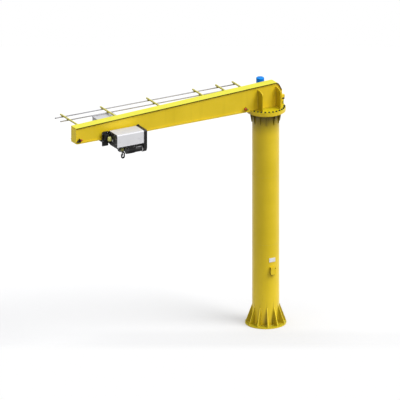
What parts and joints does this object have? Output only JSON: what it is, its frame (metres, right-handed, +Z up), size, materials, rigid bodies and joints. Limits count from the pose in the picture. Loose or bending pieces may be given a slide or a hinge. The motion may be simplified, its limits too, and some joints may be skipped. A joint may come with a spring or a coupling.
{
  "type": "floor-mounted jib crane",
  "caption": "Floor-mounted slewing jib crane: round column, tapered box girder on a geared bearing, underslung rope hoist trolley with swivel hook, side rails",
  "frame": {"origin": "on the column axis, in the plane of the underside of the base plate", "axes": "+Z up along the column, +X along the arm towards its tip at rest, +Y towards the side with the rope drum"},
  "size_m": [5.3899, 1.54, 5.77],
  "materials": {
    "yellow_paint": "gloss industrial enamel",
    "black_paint": "satin black enamel",
    "grey_paint": "satin light grey powder coat",
    "bare_steel": "machined, lightly oiled",
    "wire_rope": "greased galvanised wire",
    "blue_paint": "gloss enamel",
    "rail_aluminium": "mill finish",
    "clamp_paint": "satin",
    "red_rubber": "matt",
    "pale_yellow_paint": "satin enamel"
  },
  "bodies": {
    "column": {"base_plate": "yellow_paint", "column_tube": "yellow_paint", "base_gussets": "yellow_paint", "head_gussets": "yellow_paint", "head_flange": "yellow_paint", "inner_ring": "bare_steel", "inner_ring_bolts": "black_paint", "blank_plate": "grey_paint", "supply_box": "yellow_paint"},
    "box_door": {"box_door": "yellow_paint"},
    "box_lock": {"box_lock": "black_paint"},
    "ball_set": {"ball_set": "bare_steel"},
    "arm": {"turntable": "yellow_paint", "outer_ring": "yellow_paint", "ring_bolts": "black_paint", "girder_webs": "yellow_paint", "girder_top": "yellow_paint", "girder_bottom": "yellow_paint", "end_plates": "yellow_paint", "diaphragms": "yellow_paint", "side_ribs": "yellow_paint", "rear_box": "yellow_paint", "cross_arms": "yellow_paint", "rail_clamps": "clamp_paint", "rails": "rail_aluminium", "end_stops": "black_paint", "buffers": "red_rubber", "slew_gearbox": "black_paint", "slew_motor": "blue_paint", "fan_cover": "blue_paint"},
    "slew_pinion": {"slew_pinion": "bare_steel"},
    "trolley": {"trolley_frame": "black_paint", "axles": "bare_steel", "drum_end_plate": "black_paint", "hoist_gearbox": "black_paint", "hoist_cover": "grey_paint", "motor_bell": "grey_paint", "hoist_brake": "black_paint", "hoist_motor": "black_paint", "travel_gearbox": "black_paint", "travel_motor": "pale_yellow_paint", "electrics_box": "grey_paint", "trolley_rope": "wire_rope"},
    "drum": {"rope_drum": "bare_steel", "drum_rope": "wire_rope"},
    "wheel_near_front": {"wheel_near_front": "bare_steel"},
    "wheel_near_rear": {"wheel_near_rear": "bare_steel"},
    "wheel_far_front": {"wheel_far_front": "bare_steel"},
    "wheel_far_rear": {"wheel_far_rear": "bare_steel"},
    "deflection_sheave": {"deflection_sheave": "bare_steel"},
    "upper_sheave": {"upper_sheave": "bare_steel"},
    "hook_block": {"block_cheeks": "black_paint", "block_crosshead": "black_paint", "block_axle": "bare_steel", "block_rope": "wire_rope", "rope_falls": "wire_rope"},
    "block_sheave_a": {"block_sheave_a": "bare_steel"},
    "block_sheave_b": {"block_sheave_b": "bare_steel"},
    "hook": {"hook": "black_paint"},
    "latch": {"latch": "bare_steel"}
  },
  "joints": [
    {"name": "slew", "type": "hinge", "parent": "column", "child": "arm", "pos_m": [0, 0, 5.15], "axis": [0, 0, 1], "range_deg": [-170, 170]},
    {"name": "ball_roll", "type": "hinge", "parent": "column", "child": "ball_set", "pos_m": [0, 0, 5.091], "axis": [0, 0, 1], "range_deg": [-90, 90]},
    {"name": "pinion_turn", "type": "hinge", "parent": "arm", "child": "slew_pinion", "pos_m": [0, -0.256, 5.15], "axis": [0, 0, 1], "range_deg": [-860, 860]},
    {"name": "door_swing", "type": "hinge", "parent": "column", "child": "box_door", "pos_m": [0.0685, 0.366, 1.333], "axis": [0, 0, -1], "range_deg": [0, 120]},
    {"name": "lock_turn", "type": "hinge", "parent": "box_door", "child": "box_lock", "pos_m": [-0.0475, 0.366, 1.398], "axis": [0, 1, 0], "range_deg": [0, 90]},
    {"name": "trolley_travel", "type": "slide", "parent": "arm", "child": "trolley", "axis": [1, 0, 0], "range_m": [-2.71, 0.503]},
    {"name": "wheel_near_front_turn", "type": "hinge", "parent": "trolley", "child": "wheel_near_front", "pos_m": [4.2, 0.122, 5.2283], "axis": [0, 1, 0], "continuous": true},
    {"name": "wheel_near_rear_turn", "type": "hinge", "parent": "trolley", "child": "wheel_near_rear", "pos_m": [3.5, 0.122, 5.2283], "axis": [0, 1, 0], "continuous": true},
    {"name": "wheel_far_front_turn", "type": "hinge", "parent": "trolley", "child": "wheel_far_front", "pos_m": [4.2, -0.122, 5.2283], "axis": [0, 1, 0], "continuous": true},
    {"name": "wheel_far_rear_turn", "type": "hinge", "parent": "trolley", "child": "wheel_far_rear", "pos_m": [3.5, -0.122, 5.2283], "axis": [0, 1, 0], "continuous": true},
    {"name": "hook_lift", "type": "slide", "parent": "trolley", "child": "hook_block", "axis": [0, 0, -1], "range_m": [0, 4.2], "deforming": ["rope_falls"]},
    {"name": "drum_turn", "type": "hinge", "parent": "trolley", "child": "drum", "pos_m": [3.8, 0.37, 5.18], "axis": [1, 0, 0], "range_deg": [-8100, 10]},
    {"name": "deflection_turn", "type": "hinge", "parent": "trolley", "child": "deflection_sheave", "pos_m": [3.58, 0.12, 5], "axis": [1, 0, 0], "continuous": true},
    {"name": "upper_sheave_turn", "type": "hinge", "parent": "trolley", "child": "upper_sheave", "pos_m": [3.66, -0.06, 5], "axis": [0, 1, 0], "continuous": true},
    {"name": "block_sheave_a_turn", "type": "hinge", "parent": "hook_block", "child": "block_sheave_a", "pos_m": [3.58, 0, 4.825], "axis": [1, 0, 0], "continuous": true},
    {"name": "block_sheave_b_turn", "type": "hinge", "parent": "hook_block", "child": "block_sheave_b", "pos_m": [3.74, 0, 4.825], "axis": [1, 0, 0], "continuous": true},
    {"name": "hook_swivel", "type": "hinge", "parent": "hook_block", "child": "hook", "pos_m": [3.66, 0, 4.755], "axis": [0, 0, 1], "continuous": true},
    {"name": "latch_swing", "type": "hinge", "parent": "hook", "child": "latch", "pos_m": [3.688, 0, 4.69], "axis": [0, 1, 0], "range_deg": [0, 28], "stiffness_Nm_per_rad": 0.15, "springref_deg": -28.65}
  ],
  "couplings": [
    {"joint": "ball_roll", "follows": "slew", "ratio": 0.5109},
    {"joint": "pinion_turn", "follows": "slew", "ratio": -5},
    {"joint": "drum_turn", "follows": "hook_lift", "rad_per_m": -33.333},
    {"joint": "deflection_turn", "follows": "hook_lift", "rad_per_m": 66.667},
    {"joint": "upper_sheave_turn", "follows": "hook_lift", "rad_per_m": 25},
    {"joint": "block_sheave_a_turn", "follows": "hook_lift", "rad_per_m": -50},
    {"joint": "block_sheave_b_turn", "follows": "hook_lift", "rad_per_m": 16.667},
    {"joint": "wheel_near_front_turn", "follows": "trolley_travel", "rad_per_m": 16.129},
    {"joint": "wheel_near_rear_turn", "follows": "trolley_travel", "rad_per_m": 16.129},
    {"joint": "wheel_far_front_turn", "follows": "trolley_travel", "rad_per_m": 16.129},
    {"joint": "wheel_far_rear_turn", "follows": "trolley_travel", "rad_per_m": 16.129}
  ]
}
